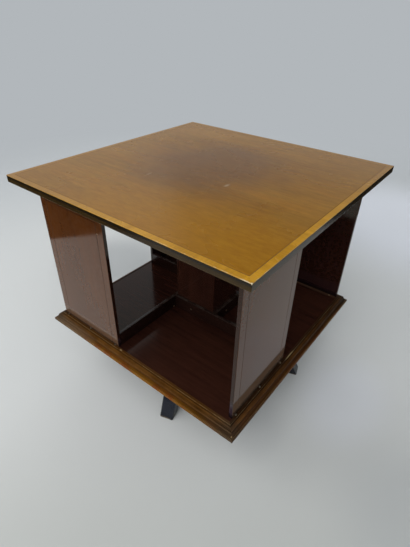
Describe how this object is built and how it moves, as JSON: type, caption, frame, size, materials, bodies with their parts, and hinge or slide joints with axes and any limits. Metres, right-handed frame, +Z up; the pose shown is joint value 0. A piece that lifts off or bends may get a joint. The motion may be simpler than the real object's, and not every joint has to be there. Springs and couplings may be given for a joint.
{
  "type": "revolving desktop bookcase",
  "caption": "Square desktop bookcase with an open bay on every side round a hollow column, turning on a low stand with downswept legs",
  "frame": {"origin": "on the floor under the spindle, at the middle of the footprint", "axes": "+Z up along the spindle; the side panels face -Y, +X, +Y and -X when the case is at zero"},
  "size_m": [0.48, 0.48, 0.42],
  "materials": {
    "top_field": "polished faded mahogany",
    "top_band": "polished satinwood crossbanding",
    "top_string": "polished dark stringing",
    "top_edge": "dark polish, worn",
    "case_wood": "dark red-brown French polish",
    "moulding_wood": "orange-brown polish, worn arrises",
    "stand_wood": "ebonised",
    "plain_wood": "unpolished",
    "steel": "turned and oiled",
    "brass": "aged"
  },
  "bodies": {
    "stand": {"stand_hub": "stand_wood", "leg_front": "stand_wood", "leg_right": "stand_wood", "leg_back": "stand_wood", "leg_left": "stand_wood", "tenon_pegs": "plain_wood", "mount_plate": "steel", "plate_screws": "steel", "spindle": "steel", "pivot_ball": "steel", "stud_washer": "steel", "stud_nut": "steel"},
    "case": {"field_veneer": "top_field", "border_band_front": "top_band", "border_band_right": "top_band", "border_band_back": "top_band", "border_band_left": "top_band", "border_string_front": "top_string", "border_string_right": "top_string", "border_string_back": "top_string", "border_string_left": "top_string", "edge_lipping_front": "top_edge", "edge_lipping_right": "top_edge", "edge_lipping_back": "top_edge", "edge_lipping_left": "top_edge", "side_panel_front": "case_wood", "side_panel_right": "case_wood", "side_panel_back": "case_wood", "side_panel_left": "case_wood", "column_board_front": "case_wood", "column_board_right": "case_wood", "column_board_back": "case_wood", "column_board_left": "case_wood", "book_batten_front": "case_wood", "book_batten_right": "case_wood", "book_batten_back": "case_wood", "book_batten_left": "case_wood", "base_board": "case_wood", "base_moulding_front": "moulding_wood", "base_moulding_right": "moulding_wood", "base_moulding_back": "moulding_wood", "base_moulding_left": "moulding_wood", "top_core": "plain_wood", "pivot_block": "plain_wood", "panel_dowels": "plain_wood", "column_dowels": "plain_wood", "bush_screws": "steel", "panel_screws": "steel", "column_screws": "steel", "base_bush": "brass", "pivot_cup": "brass", "panel_foot_pins": "brass", "batten_pins": "brass"}
  },
  "joints": [
    {"name": "case_swivel", "type": "hinge", "parent": "stand", "child": "case", "pos_m": [0, 0, 0.124], "axis": [0, 0, 1], "continuous": true}
  ]
}
